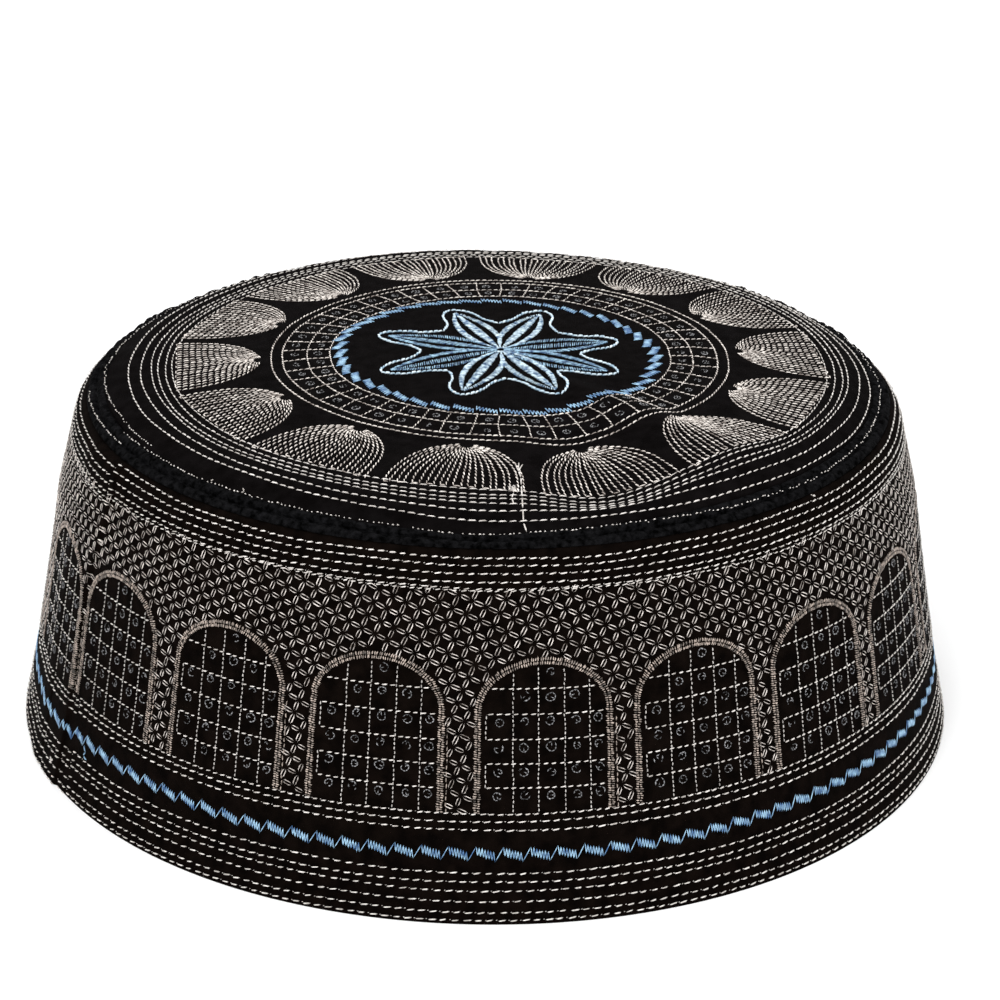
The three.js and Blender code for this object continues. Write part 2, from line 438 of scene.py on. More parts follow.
SEAM_START = -58.0
LAP_DROP, LAP_DROP_ANGLE = 0.9, 26.0


def lap_shift(degrees):
    """Rows on the lap's outer end lie a little lower than where they started."""
    past = (SEAM_START - degrees) % 360.0
    return -LAP_DROP * np.clip(1.0 - past / LAP_DROP_ANGLE, 0.0, 1.0) * (past < 180.0)


# Rows of running stitch: arc length, stitch pitch, width, unevenness, place in its waves
BAND_ROWS = [
    (0.75, 2.1, 0.30, 0.10, 0.0), (2.15, 2.1, 0.30, 0.18, 1.7), (4.25, 2.1, 0.30, 0.22, 3.4),
    (6.35, 2.1, 0.30, 0.22, 5.1), (7.80, 2.1, 0.30, 0.20, 0.6), (9.50, 2.1, 0.30, 0.20, 2.3),
    (17.6, 2.05, 0.31, 0.18, 4.0), (19.2, 2.05, 0.31, 0.15, 5.7), (20.5, 1.6, 0.30, 0.12, 1.2),
    (61.3, 1.5, 0.27, 0.25, 2.9), (61.8, 1.9, 0.28, 0.25, 4.6),
    (62.9, 2.0, 0.31, 0.22, -1.6), (64.4, 2.0, 0.31, 0.30, -1.6),
    (65.9, 2.0, 0.31, 0.45, -1.6), (67.3, 1.9, 0.31, 0.60, -1.6),
]
ROW_FILL, ROW_FILL_SPREAD = 0.70, 0.10
ROW_START, ROW_START_SPREAD, ROW_LEVEL_SPREAD = 0.1, 0.06, 0.05
ROW_SLANT, LEAST_SLANT = 0.24, 0.4
ROW_WIDTH_SPREAD = 0.15
SPECK_SHARE, SPECK_START, SPECK_FILL = 0.7, 0.86, 0.16
SPECK_RISE, SPECK_WIDTH = 0.12, 0.62


def running_rows(skein):
    """Arched stitches, each with a speck of the under thread after it."""
    for s, pitch, width, size, seed in BAND_ROWS:
        count = int(2 * np.pi * outline_radius(s) / pitch)
        step = 360.0 / count
        place = np.arange(count) + ROW_START + jitter(count, ROW_START_SPREAD)
        start = SEAM_START + place * step
        length = step * (ROW_FILL + jitter(count, ROW_FILL_SPREAD))
        row = s + wander(start, seed, size) + lap_shift(start)
        row = row + jitter(count, ROW_LEVEL_SPREAD)
        slant = ROW_SLANT * (LEAST_SLANT + RANDOM.uniform(0, 1, count)) / 2
        starts, ends = joined(start, row - slant), joined(start + length, row + slant)
        skein.add(starts, ends, on_cap, uneven(width, count, ROW_WIDTH_SPREAD), ARCHED)
        speck = starts + joined(SPECK_START * step, slant)
        speck_end = speck + [SPECK_FILL * step, SPECK_RISE]
        shown = chance(count, SPECK_SHARE)
        skein.add(speck[shown], speck_end[shown], on_cap, SPECK_WIDTH * width, SPECK)


ZIGZAG_UNITS = 119
ZIGZAG_TOP, ZIGZAG_FALL, TOOTH_HEIGHT = 14.6, 0.95, 2.0
ZIGZAG_TEETH, COMB_SHARE, TOOTH_LEAN = 7, 0.74, 0.45
# Unevenness of the thread's turns, as a share of a unit and up the band
ZIGZAG_SCATTER, ZIGZAG_WAVE = (0.02, 0.10), 0.2
ZIGZAG_WIDTH = 0.20


def band_zigzag(skein):
    """Units of a falling comb of short threads and one long thread back up."""
    step = 360.0 / ZIGZAG_UNITS
    tooth_step = COMB_SHARE / ZIGZAG_TEETH
    path = []
    for tooth in range(ZIGZAG_TEETH):
        share = tooth / (ZIGZAG_TEETH - 1)
        top = ZIGZAG_TOP - ZIGZAG_FALL * share
        path.append((tooth * tooth_step, top))
        path.append(((tooth + TOOTH_LEAN) * tooth_step, top - TOOTH_HEIGHT))
    path.append((1.0, ZIGZAG_TOP))
    path = np.array(path)
    for unit_index in range(ZIGZAG_UNITS):
        points = path.copy()
        points[:, 0] = SEAM_START + (unit_index + points[:, 0]) * step
        points[:-1] += joined(*(jitter(len(path) - 1, size) for size in ZIGZAG_SCATTER))
        points[:, 1] += wander(points[:, 0], 4.0, ZIGZAG_WAVE) + lap_shift(points[:, 0])
        skein.run(points, on_cap, ZIGZAG_WIDTH)


# Arched windows: centres, half widths at their feet, and heights as arc lengths
WINDOW_COUNT, FIRST_WINDOW, WINDOW_PITCH = 19, -51.1, 19.05
WINDOW_FOOT, WINDOW_SPRING = 20.5, 39.5
INNER_HALF, INNER_APEX = 7.25, 48.0
OUTER_HALF, OUTER_APEX = 8.1, 49.5
# The machine did not space the front windows quite evenly
WINDOW_SHIFTS = {0: -0.15, 1: 0.25, 2: 0.6, 3: 1.05, 4: 0.7, 5: 0.25, 18: 0.1}
WINDOW_CENTRES = FIRST_WINDOW + WINDOW_PITCH * np.arange(WINDOW_COUNT)
WINDOW_CENTRES[list(WINDOW_SHIFTS)] += list(WINDOW_SHIFTS.values())


def arch_half(s, half, apex):
    """Half the width of an arch, in degrees, at an arc length."""
    share = np.clip((s - WINDOW_SPRING) / (apex - WINDOW_SPRING), 0.0, 1.0)
    return half * np.sqrt(1.0 - share ** 2)


def inside_window(degrees, s, half, apex):
    away = np.abs(turned(np.asarray(degrees)[..., None], WINDOW_CENTRES)).min(-1)
    return (away < arch_half(s, half, apex)) & (s < apex)


ARCH_POINTS, ARCH_STEP_DOWN = 60, 0.4


def arch_path(centre, half, apex):
    """Positions up one side of an arch, over its top and down the other."""
    rise = WINDOW_SPRING - WINDOW_FOOT
    turn = np.linspace(0.0, np.pi, ARCH_POINTS)
    arc = joined(
        centre - half * np.cos(turn), WINDOW_SPRING + (apex - WINDOW_SPRING) * np.sin(turn))
    leg = np.linspace(0.0, rise, ARCH_POINTS // 2, endpoint=False)
    left = joined(centre - half, WINDOW_FOOT + leg)
    right = joined(centre + half, WINDOW_SPRING - leg - ARCH_STEP_DOWN)
    return np.vstack([left, arc, right])


def even_positions(path, pitch):
    """Shares of a path's length on the band: at an even pitch and at its own points."""
    scale = np.array([1.0 / degrees_of(1.0, path[:, 1].mean()), 1.0])
    run = run_along(path * scale)
    count = int(run[-1] / pitch)
    return (np.arange(count) + 0.5) / count, run / run[-1]


# A border's two columns of threads, as shares of its width
BORDER_COLUMNS = ((0.0, 0.50), (0.46, 1.0))
SATIN_PITCH, SATIN_WIDTH, SATIN_WIDTH_SPREAD = 0.43, 0.29, 0.25
SATIN_SLIP, SATIN_EDGE_SPREAD = 0.5, 0.07
SATIN_END_SPREADS = (0.06, 0.09)
# The guide line beside it
GUIDE_GAP, GUIDE_TOP, GUIDE_PITCH = 0.28, 38.0, 1.15
GUIDE_LENGTH, GUIDE_WIDTH = 1.0, 0.24
GUIDE_SPREAD, GUIDE_END_SPREAD = 0.05, 0.06


def window_border(skein, centre):
    """Satin stitch between the arch's inner and outer edges, and a guide line beside it."""
    inner = arch_path(centre, INNER_HALF, INNER_APEX)
    outer = arch_path(centre, OUTER_HALF, OUTER_APEX)
    at, run = even_positions((inner + outer) / 2, SATIN_PITCH)
    starts = at_run(at, run, inner)
    ends = at_run(at + SATIN_SLIP / len(at), run, outer)
    starts[:, 0] += jitter(len(at), SATIN_EDGE_SPREAD)
    ends[:, 0] += jitter(len(at), SATIN_EDGE_SPREAD)
    for column in BORDER_COLUMNS:
        widths = uneven(SATIN_WIDTH, len(at), SATIN_WIDTH_SPREAD)
        thread_ends = [scattered(starts * (1 - share) + ends * share, spread)
                       for share, spread in zip(column, SATIN_END_SPREADS)]
        skein.add(*thread_ends, on_cap, widths)
    count = int((GUIDE_TOP - WINDOW_FOOT) / GUIDE_PITCH)
    low = WINDOW_FOOT + GUIDE_PITCH * np.arange(count)
    side = centre + OUTER_HALF + GUIDE_GAP + jitter(count, GUIDE_SPREAD)
    end_side = side + jitter(count, GUIDE_END_SPREAD)
    skein.add(joined(side, low), joined(end_side, low + GUIDE_LENGTH), on_cap, GUIDE_WIDTH)


GRID_ROWS = (25.3, 29.75, 34.25, 38.9, 43.6)
GRID_COLUMNS = (-3.6, -0.7, 2.35, 5.3)
GRID_BRACKET = -6.7
GRID_GAP = 0.3
GRID_ROW_GAP, GRID_ROW_PITCH, GRID_ROW_WIDTH = 0.1, 1.42, 0.29
GRID_ROW_FILL, GRID_ROW_FILL_SPREAD = 0.72, 0.08
GRID_ROW_WAVE, GRID_ROW_RISE, GRID_SPREAD = 0.25, 0.08, 0.05
GRID_COLUMN_PITCH, GRID_COLUMN_WIDTH = 0.82, 0.25
GRID_COLUMN_START, GRID_COLUMN_FILL = 0.08, 0.84


def grid_row(skein, centre, s):
    half = arch_half(s, INNER_HALF, INNER_APEX) - GRID_ROW_GAP
    left = max(-half, GRID_BRACKET) if s < WINDOW_SPRING else -half
    count = int((half - left) / degrees_of(GRID_ROW_PITCH, s))
    step = (half - left) / count
    place = np.arange(count) + ROW_START + jitter(count, GRID_SPREAD)
    start = centre + left + place * step
    level = s + wander(start, centre, GRID_ROW_WAVE)
    end = start + (GRID_ROW_FILL + jitter(count, GRID_ROW_FILL_SPREAD)) * step
    skein.add(
        joined(start, level - GRID_ROW_RISE), joined(end, level + GRID_ROW_RISE),
        on_cap, uneven(GRID_ROW_WIDTH, count, ROW_WIDTH_SPREAD), ARCHED)


def grid_column(skein, degrees, low, high):
    count = max(1, int((high - low) / GRID_COLUMN_PITCH))
    step = (high - low) / count
    start = low + (np.arange(count) + GRID_COLUMN_START) * step
    side = degrees + jitter(count, GRID_SPREAD)
    end_side = side + jitter(count, GRID_SPREAD)
    skein.add(
        joined(side, start), joined(end_side, start + GRID_COLUMN_FILL * step),
        on_cap, GRID_COLUMN_WIDTH)


def window_grid(rows, columns, centre):
    for s in GRID_ROWS:
        grid_row(rows, centre, s)
    for offset in GRID_COLUMNS:
        share = math.sqrt(1.0 - (offset / INNER_HALF) ** 2)
        top = WINDOW_SPRING + (INNER_APEX - WINDOW_SPRING) * share - GRID_GAP
        grid_column(columns, centre + offset, WINDOW_FOOT + GRID_GAP, top)
    for low, high in zip(GRID_ROWS[::2], GRID_ROWS[1::2]):
        grid_column(columns, centre + GRID_BRACKET, low, high)


# Lattice: a square mesh of links, each a loop of two threads, sewn straight across the
# cloth before it was bent into a ring.
LATTICE_STEP, LATTICE_TURN = 2.56, 66.5
LATTICE_FOOT, LATTICE_TOP = 21.0, 61.3
LATTICE_REACH = 240
# How far the mesh keeps from the lap's edge, in degrees: it runs over it a little
LATTICE_EDGE = -0.4
LATTICE_MARGIN = 0.2
LINK_SHARE, LINK_SHARE_SPREAD = 0.73, 0.10
LINK_SPREAD, LINK_TURN_SPREAD = 0.07, 0.05
LINK_END_GAP, LINK_BOW = 0.10, 0.19
LINK_WIDTH, LINK_WIDTH_SPREAD = 0.19, 0.2
LEAN = (RIM_RADIUS - LOWER_SEAM_RADIUS) / LOWER_SEAM
FLAT_RADIUS = RIM_RADIUS / LEAN


def bent(flat):
    """Positions on the band of places on its flat cloth, in millimetres."""
    across, depth = flat[..., 0], FLAT_RADIUS - flat[..., 1]
    degrees = np.degrees(np.arctan2(across, depth)) / LEAN
    return joined(degrees, FLAT_RADIUS - np.hypot(across, depth))


def lattice(skein):
    """Paired threads on every side of a square mesh outside the windows."""
    steps = LATTICE_STEP * axes_at(LATTICE_TURN)
    reach = np.arange(-LATTICE_REACH, LATTICE_REACH)
    nodes = joined(reach[:, None], reach).reshape(-1, 2) @ steps
    for step in steps:
        middle = nodes + step / 2
        degrees, s = bent(middle).T
        past = degrees - lap_edge(s)
        keep = (past > LATTICE_EDGE) & (past < 360.0 - LATTICE_EDGE)
        keep &= (s > LATTICE_FOOT) & (s < LATTICE_TOP)
        keep[keep] = ~inside_window(
            degrees[keep], s[keep], OUTER_HALF + LATTICE_MARGIN, OUTER_APEX + LATTICE_MARGIN)
        middle = scattered(middle[keep], LINK_SPREAD)
        half = step * uneven(LINK_SHARE, (len(middle), 1), LINK_SHARE_SPREAD) / 2
        half = scattered(half, LINK_TURN_SPREAD)
        aside = LINK_END_GAP * unit(joined(-half[:, 1], half[:, 0]))
        widths = uneven(LINK_WIDTH, len(middle), LINK_WIDTH_SPREAD)
        for sign in (-1, 1):
            centre = middle + sign * aside
            starts, ends = bent(centre - half), bent(centre + half)
            skein.add(starts, ends, on_cap, widths, bow=-sign * LINK_BOW)


SEQUIN_RADIUS, SEQUIN_WIRE = 0.76, 0.27
SEQUIN_ROWS = (23.9, 28.4, 32.8, 37.6)
SEQUIN_COLUMNS = (-5.3, -2.3, 0.7, 3.7, 6.35)
SEQUIN_ARCH = ((42.2, -2.3), (42.2, 0.7), (42.2, 3.6), (46.7, 0.8))


def sequins(skein):
    """Small dark rings sewn into the grid's cells, as irregular loops of short runs."""
    places = [(s, column) for s in SEQUIN_ROWS for column in SEQUIN_COLUMNS]
    places += list(SEQUIN_ARCH)
    for centre in WINDOW_CENTRES:
        for s, column in places:
            sequin(skein, centre + column, s, on_cap, 1.0 / float(degrees_of(1.0, s)))


RING_SIDES, RING_SHOWN = 8, 0.82
RING_SPREAD, RING_WIDTH_SPREAD = 0.16, 0.3
RING_SIZE_SPREAD, RING_OVERLAP = 0.15, 0.2
# The stitch that holds a sequin: its length in radii, its width in the ring's
HOLD_LENGTH, HOLD_WIDTH = 1.1, 0.8


def sequin(skein, first, second, place, scale):
    """One broken ring and its holding stitch; `scale` is millimetres per first unit."""
    turn = np.linspace(0, 2 * np.pi, RING_SIDES, endpoint=False) + RANDOM.uniform(0, 6.3)
    size = 1 + jitter(1, RING_SIZE_SPREAD) + jitter(RING_SIDES, RING_SPREAD)
    radius = SEQUIN_RADIUS * size
    middle = np.array([first, second]) + jitter(2, RING_SPREAD) / [scale, 1.0]
    around = joined(radius * np.cos(turn) / scale, radius * np.sin(turn))
    points = middle + around
    following = np.roll(points, -1, axis=0)
    beyond = RING_OVERLAP * (following - points)
    keep = chance(RING_SIDES, RING_SHOWN)
    starts, ends = (points - beyond)[keep], (following + beyond)[keep]
    widths = uneven(SEQUIN_WIRE, len(starts), RING_WIDTH_SPREAD)
    skein.add(starts, ends, place, widths, SPECK)
    hold_end = points[0] - around[0] * HOLD_LENGTH
    skein.add([points[0]], [hold_end], place, HOLD_WIDTH * SEQUIN_WIRE, SPECK)


# The strip's stitching shows as specks: angles and arc lengths along each of its rows
TACKS = [
    ((-64, -54, 0, 20, 35, 60, 130, 200, 271, 290, 303),
     (73.0, 73.4, 73.2, 72.5, 71.7, 71.5, 72.0, 72.6, 73.1, 74.4, 74.5)),
    ((-84, -73, -62), (69.9, 70.4, 71.1)),
]
TACK_PITCH, TACK_FILL, TACK_WIDTH, TACK_SHOWN, TACK_WAVE = 0.90, 0.62, 0.30, 0.93, 0.3
# Their unevenness: place in pitches, level, length, tilt and width
TACK_SPREADS = (0.2, 0.12, 0.45, 0.16, 0.3)


def strip_tacks(skein):
    """Short uneven stitches, some missing, that hold the strip to the crown."""
    along, across, lengths, tilts, widths = TACK_SPREADS
    for angles, levels in TACKS:
        pitch = float(degrees_of(TACK_PITCH, levels[0]))
        start = np.arange(angles[0], angles[-1], pitch)
        start = start + jitter(len(start), along * pitch)
        start = start[chance(len(start), TACK_SHOWN)]
        count = len(start)
        level = np.interp(start, angles, levels) + wander(start, 2.0, TACK_WAVE)
        level = level + jitter(count, across)
        length = uneven(TACK_FILL * pitch, count, lengths)
        starts = joined(start, level)
        ends = starts + joined(length, jitter(count, tilts))
        skein.add(starts, ends, on_strip, uneven(TACK_WIDTH, count, widths), SPECK)


def on_strip(degrees, s, lift):
    """Points on the strip's gathered face, in millimetres."""
    return on_cap(degrees, s, lift + np.maximum(gather_relief(degrees, s), 0.0))


# Crown pattern, laid out round its own centre, which is a little off the cap's axis
PATTERN_X, PATTERN_Y = 2.16, 0.13


def on_pattern(x, y, lift):
    """Points on the crown above plan positions of the pattern, in millimetres."""
    x, y = x + PATTERN_X, y + PATTERN_Y
    return on_cap(np.degrees(np.arctan2(x, -y)), at_radius(np.hypot(x, y)), lift)


RING_STEPS = 240


def ring_line(radius, seed, size):
    degrees = np.linspace(0.0, 360.0, RING_STEPS + 1)
    return polar(degrees, radius + wander(degrees, seed, size))


# Rings of running stitch round the crown: radius, pitch, width, unevenness
CROWN_ROWS = [
    (64.9, 1.8, 0.24, 0.25), (66.4, 1.8, 0.28, 0.22), (67.8, 1.8, 0.28, 0.25),
    (69.0, 1.8, 0.28, 0.25), (71.2, 1.8, 0.29, 0.30), (73.4, 1.8, 0.29, 0.30),
]
CROWN_ROW_LAY, CROWN_ROW_FILL = 0.07, 0.95
# Rings of the two rows of cells
CELL_ROWS = [
    (33.9, 1.25, 0.25, 0.25), (38.4, 1.25, 0.24, 0.3), (43.3, 1.25, 0.27, 0.25),
    (45.5, 1.25, 0.28, 0.25),
]
CELL_COUNT = 48
CELL_PITCH, CELL_WIDTH, CELL_SPREAD = 1.2, 0.23, 0.7
CELL_RING_RADII = (36.1, 40.8)


def crown_rows(pale, brown):
    for index, (radius, pitch, width, size) in enumerate(CROWN_ROWS):
        line = ring_line(radius, index * 2.3, size)
        twisted(pale, line, pitch, width, CROWN_ROW_LAY, CROWN_ROW_FILL)
    for index, (radius, pitch, width, size) in enumerate(CELL_ROWS):
        line = ring_line(radius, 5.0 + 0.1 * index, size)
        twisted(brown, line, pitch, width)


def crown_cells(brown, dark):
    rings = np.array(CELL_ROWS)[:3, 0]
    for cell in range(CELL_COUNT):
        degrees = 360.0 * cell / CELL_COUNT + jitter(len(rings), CELL_SPREAD)
        twisted(brown, polar(degrees, rings), CELL_PITCH, CELL_WIDTH)
        for radius in CELL_RING_RADII:
            x, y = polar(degrees[0] + 180.0 / CELL_COUNT, radius)
            sequin(dark, x, y, on_pattern, 1.0)


FAN_COUNT, FIRST_FAN = 14, -7.1
FAN_APEX, FAN_EDGE, FAN_HALF = 47.6, 64.2, 12.8
FAN_NOTCH, FAN_SPREAD = 1.2, 85.0
# Each line bends: how far aside, and how far out as a share of the reach, least and more
FAN_BEND_SIDE, FAN_BEND_LEAST, FAN_BEND_MORE = 11.0, 0.14, 0.38
FAN_LINES, FAN_LINE_POINTS, FAN_LINE_SPREAD = 21, 16, 0.015
FAN_PITCH, FAN_WIDTH = 1.3, 0.27
FAN_LAY, FAN_FILL, FAN_STAGGER = 0.17, 0.98, 1.1
FAN_WAVE, FAN_WAVE_RATE = 0.14, 9.0


def curve(start, bend, end, t):
    """A curve that leaves its start towards `bend` and reaches its end from there."""
    return (1 - t) ** 2 * start + 2 * t * (1 - t) * bend + t ** 2 * end


def fan_line(share):
    """Sideways and outward positions of one of a fan's lines, from its apex to its edge."""
    t = np.linspace(0.0, 1.0, FAN_LINE_POINTS)[:, None]
    reach = FAN_EDGE - FAN_APEX
    start = polar(FAN_SPREAD * share, FAN_NOTCH) * [1, -1] + [0, FAN_APEX]
    out = FAN_BEND_LEAST + FAN_BEND_MORE * (1.0 - abs(share))
    bend = np.array([FAN_BEND_SIDE * share, FAN_APEX + reach * out])
    edge = np.array([FAN_HALF * share, FAN_EDGE])
    return curve(start, bend, edge, t)


def crown_fans(skein):
    """Lines that spread like an umbrella's ribs, joined by turns where they end."""
    for fan in range(FAN_COUNT):
        axes = axes_at(FIRST_FAN + 360.0 * fan / FAN_COUNT)
        last = None
        for index, share in enumerate(np.linspace(-1.0, 1.0, FAN_LINES)):
            line = fan_line(share + float(jitter(1, FAN_LINE_SPREAD)[0]))
            line[:, 0] += wander(line[:, 1] * FAN_WAVE_RATE, 7.0 * share + fan, FAN_WAVE)
            line = line[:, ::-1] @ axes
            if index % 2:
                line[0] += FAN_STAGGER * unit(line[1] - line[0])
                skein.add([last], [line[-1]], on_pattern, FAN_WIDTH)
            twisted(skein, line, FAN_PITCH, FAN_WIDTH, FAN_LAY, FAN_FILL)
            last = line[-1]


# The ring of satin blocks round the flower was pulled a little out of round
BLOCK_RING_RADIUS, BLOCK_COUNT = 31.3, 44
BLOCK_HEIGHT, BLOCK_SLANT, BLOCK_FILL = 1.85, 1.35, 0.88
BLOCK_TEETH, BLOCK_LEAN, BLOCK_WIDTH, BLOCK_SCATTER = 7, 0.05, 0.27, 0.06


def block_radius(degrees):
    turn = np.radians(degrees)
    return (BLOCK_RING_RADIUS - 0.8 * np.sin(turn) + 0.66 * np.cos(turn)
            + 0.9 * np.sin(2 * turn) + 0.3 * np.sin(9 * turn))


def satin_blocks(skein):
    """Slanting blocks of satin thread, end to end round the flower."""
    step = 360.0 / BLOCK_COUNT
    for block in range(BLOCK_COUNT):
        first = block * step
        base = block_radius(first) - BLOCK_HEIGHT / 2 - BLOCK_SLANT / 2
        share = np.arange(BLOCK_TEETH) / (BLOCK_TEETH - 1)
        low = base + BLOCK_SLANT * share
        degrees = first + BLOCK_FILL * share * step
        path = np.empty((2 * BLOCK_TEETH, 2))
        path[0::2] = polar(degrees, low)
        path[1::2] = polar(degrees + BLOCK_LEAN * step, low + BLOCK_HEIGHT)
        skein.run(scattered(path, BLOCK_SCATTER), on_pattern, BLOCK_WIDTH, BLUNT)


# Petals: direction and length of each
PETALS = (
    (106.0, 21.9), (160.0, 23.0), (203.5, 23.4), (251.0, 23.4),
    (298.5, 23.8), (342.5, 22.8), (27.0, 23.2), (64.0, 22.9),
)
PETAL_HALF, PETAL_ROOT = 3.9, 0.5
# How far a petal's widest place lies towards its root, and how full the petal is
PETAL_SKEW, PETAL_FULLNESS = 0.9, 0.8
PETAL_PITCH, PETAL_WIDTH = 0.46, 0.30
PETAL_SCATTER = 0.10
# Petals that point more than this far sideways have the deeper thread
SIDE_PETAL = 0.85
# Spindle and side bands: shares of the petal's half width, lean along the petal
PETAL_BANDS = ((-0.25, 0.25, 0.6), (0.62, 0.96, 0.7), (-0.62, -0.96, 0.7))


def petal_band(skein, axes, length, low, high, lean):
    """Satin threads between two shares of the petal's half width."""
    count = int((length - PETAL_ROOT) / PETAL_PITCH)
    share = (np.arange(count) + 0.5) / count
    run = PETAL_ROOT + (length - PETAL_ROOT) * share
    half = PETAL_HALF * np.sin(np.pi * share ** PETAL_SKEW) ** PETAL_FULLNESS
    widths = uneven(PETAL_WIDTH, count, SATIN_WIDTH_SPREAD)
    starts = scattered(joined(run, low * half) @ axes, PETAL_SCATTER)
    ends = scattered(joined(run + lean, high * half) @ axes, PETAL_SCATTER)
    skein.add(starts, ends, on_pattern, widths, BLUNT)


# The rope round the flower: it turns in between two petals and rounds each petal's tip
ROPE_CORNER_RADIUS = 15.8
ROPE_SHOULDER, ROPE_HALF, ROPE_REACH = 19.6, 3.7, 2.6
ROPE_BEND, ROPE_TIP_POINT, ROPE_LEG_POINTS, ROPE_TIP_POINTS = 2.2, 1.25, 10, 9
ROPE_PITCH, ROPE_WIDTH, ROPE_THICK_LAY, ROPE_FILL = 1.1, 0.50, 0.16, 1.3


def rope_side(axes, corner, tip):
    """From the corner beside a petal to the petal's tip."""
    t = np.linspace(0.0, 1.0, ROPE_LEG_POINTS)[:, None]
    bend = [ROPE_SHOULDER - ROPE_BEND, ROPE_HALF] @ axes
    leg = curve(corner, bend, [ROPE_SHOULDER, ROPE_HALF] @ axes, t)
    turn = np.linspace(0.0, np.pi / 2, ROPE_TIP_POINTS)[1:]
    out = ROPE_SHOULDER + (tip - ROPE_SHOULDER) * np.sin(turn)
    cap = joined(out, ROPE_HALF * np.cos(turn) ** ROPE_TIP_POINT) @ axes
    return np.vstack([leg, cap])


def flower(upright, sideward, rope):
    angles = np.array([angle for angle, _ in PETALS])
    gaps = turned(np.roll(angles, -1), angles) / 2
    for index, (degrees, length) in enumerate(PETALS):
        axes = axes_at(degrees)
        satin = sideward if abs(axes[0, 0]) > SIDE_PETAL else upright
        for low, high, lean in PETAL_BANDS:
            petal_band(satin, axes, length, low, high, lean)
        for sign, gap in ((1, gaps[index]), (-1, -gaps[index - 1])):
            corner = polar(degrees + gap, ROPE_CORNER_RADIUS)
            line = rope_side(axes * [[1], [sign]], corner, length + ROPE_REACH)
            twisted(rope, line, ROPE_PITCH, ROPE_WIDTH, ROPE_THICK_LAY, ROPE_FILL)


# Loose ends: angles and arc lengths
JUMP_THREAD = (
    (5.7, 92.0), (5.9, 89.5), (5.7, 86.8), (5.5, 83.0), (5.3, 79.0), (5.2, 76.0), (5.5, 73.4))
JUMP_FRAY = ((5.3, 95.6), (6.2, 95.9), (7.0, 95.3))
TANGLE, TANGLE_TAIL = (4.2, 85.6), ((4.3, 84.2), (3.9, 82.4), (4.1, 80.5))
KNOT = (-62.4, 3.9)
BLUE_TAIL = ((-55.5, 12.3), (-54.9, 11.2), (-55.2, 10.3), (-54.4, 9.9))
STRAY_ENDS = ((-41.0, 73.9), (-35.3, 74.0), (48.0, 68.4))


def strewn(spot, count, reach):
    """Places strewn round a spot, up to `reach` away either way."""
    return np.array(spot) + jitter((count, 2), 1.0) * reach


def loose_ends(pale, blue):
    """The jump thread over the crown's edge, a tangle, a knot and stray thread ends."""
    pale.run(JUMP_THREAD, on_cap, 0.34)
    fork = JUMP_THREAD[0]
    pale.add([fork] * len(JUMP_FRAY), JUMP_FRAY, on_cap, 0.26)
    pale.run((TANGLE, *TANGLE_TAIL), on_cap, 0.26)
    curl = strewn(TANGLE, 30, [0.9, 1.2])
    pale.run(curl, on_cap, 0.20, SPECK)
    spokes = strewn(KNOT, 7, [0.7, 0.9])
    pale.add([KNOT] * len(spokes), spokes, on_cap, 0.28)
    for spot in STRAY_ENDS:
        ends = strewn(spot, 3, [0.6, 0.5])
        pale.add([spot] * len(ends), ends, on_strip, 0.24)
    blue.run(BLUE_TAIL, on_cap, 0.28)


# Materials

CLOTH_TONES, CLOTH_SURFACE = (0.35, 0.70), {"Roughness": 0.9, "Specular IOR Level": 0.015}
WEAVE_EVENNESS, WEAVE_DEPTH = 0.55, 0.0004
THREAD_TONES, TONE_SCALE = (0.34, 0.66), 900.0
FIBRES, FIBRE_STRENGTH, FIBRE_DEPTH = {"Scale": 9000.0}, 0.25, 0.0001


def add_node(material, kind, values):
    """A new node in a material, with its inputs set."""
    node = material.node_tree.nodes.new("ShaderNode" + kind)
    set_inputs(node, values)
    return node


def set_inputs(node, values):
    for name, value in values.items():
        node.inputs[name].default_value = value


def noisy_material(name, dark, light, noise_inputs, span, shader_inputs):
    """A material whose colour runs from dark to light over a stretch of a fine noise."""
    material = bpy.data.materials.new(name)
    material.use_nodes = True
    shader = material.node_tree.nodes["Principled BSDF"]
    set_inputs(shader, shader_inputs)
    noise = add_node(material, "TexNoise", noise_inputs)
    ramp = add_node(material, "ValToRGB", {})
    for tone, position, colour in zip(ramp.color_ramp.elements, span, (dark, light)):
        tone.position = position
        tone.color = (*colour, 1.0)
    join(add_node(material, "TexCoord", {}), "Object", noise, "Vector")
    join(noise, "Fac", ramp, "Fac")
    join(ramp, "Color", shader, "Base Color")
    return material


def join(source, output, target, socket):
    source.id_data.links.new(source.outputs[output], target.inputs[socket])


def add_relief(material, kind, values, output, strength, depth):
    """A bump in the material's surface from one output of a texture."""
    texture = add_node(material, kind, values)
    relief = add_node(material, "Bump", {"Strength": strength, "Distance": depth})
    nodes = material.node_tree.nodes
    join(nodes["Texture Coordinate"], "Object", texture, "Vector")
    join(texture, output, relief, "Height")
    join(relief, "Normal", nodes["Principled BSDF"], "Normal")


def cloth_material(name, dark, light, mottle_and_shade_scale, weave_scale, weave_strength):
    """Woven cloth: a fine weave in the bump and a faint mottle in the colour; the strip's strong
    mottle is painted shade and painted highlights of its gathers.
    """
    mottle_and_shade = {"Scale": mottle_and_shade_scale, "Detail": 6.0}
    material = noisy_material(name, dark, light, mottle_and_shade, CLOTH_TONES, CLOTH_SURFACE)
    weave = {"Scale": weave_scale, "Randomness": WEAVE_EVENNESS}
    add_relief(material, "TexVoronoi", weave, "Distance", weave_strength, WEAVE_DEPTH)
    return material


def thread_material(name, dark, light, roughness, scale=TONE_SCALE):
    """Embroidery thread: tone changes from stitch to stitch and along each stitch over a silky
    gloss; its light and dark patches are partly painted sheen and shade.
    """
    material = noisy_material(
        name, dark, light, {"Scale": scale}, THREAD_TONES, {"Roughness": roughness})
    add_relief(material, "TexNoise", FIBRES, "Fac", FIBRE_STRENGTH, FIBRE_DEPTH)
    return material


# Cloth shells

